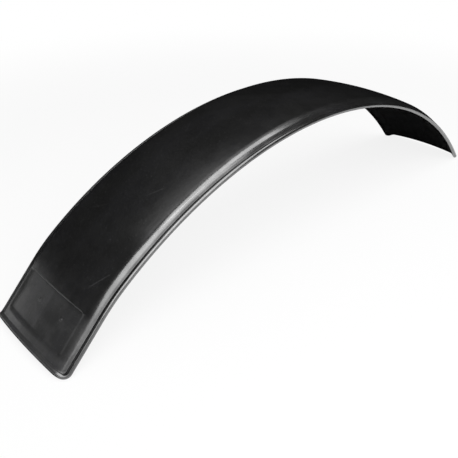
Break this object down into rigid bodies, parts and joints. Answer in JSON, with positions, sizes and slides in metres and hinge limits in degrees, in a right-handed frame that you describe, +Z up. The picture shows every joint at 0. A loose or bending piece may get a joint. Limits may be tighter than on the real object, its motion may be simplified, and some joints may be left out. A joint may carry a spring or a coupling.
{
  "type": "bicycle mudguard",
  "caption": "Arched mudguard for a wide bicycle tyre, moulded in one piece of black rubber, with sloping skirts, a rolled edge and a shallow fixing pad on one straight end.",
  "frame": {"origin": "on the ground, midway between the two ends and midway across the width", "axes": "+X along the arch, away from the end with the recessed pad; +Y across the width, along the wheel's axle; +Z up, from the ground to the top of the arch"},
  "size_m": [0.602, 0.112, 0.1428],
  "materials": {
    "rubber": "satin black, fine moulded grain"
  },
  "bodies": {
    "root": {"mudguard": "rubber"}
  },
  "joints": []
}
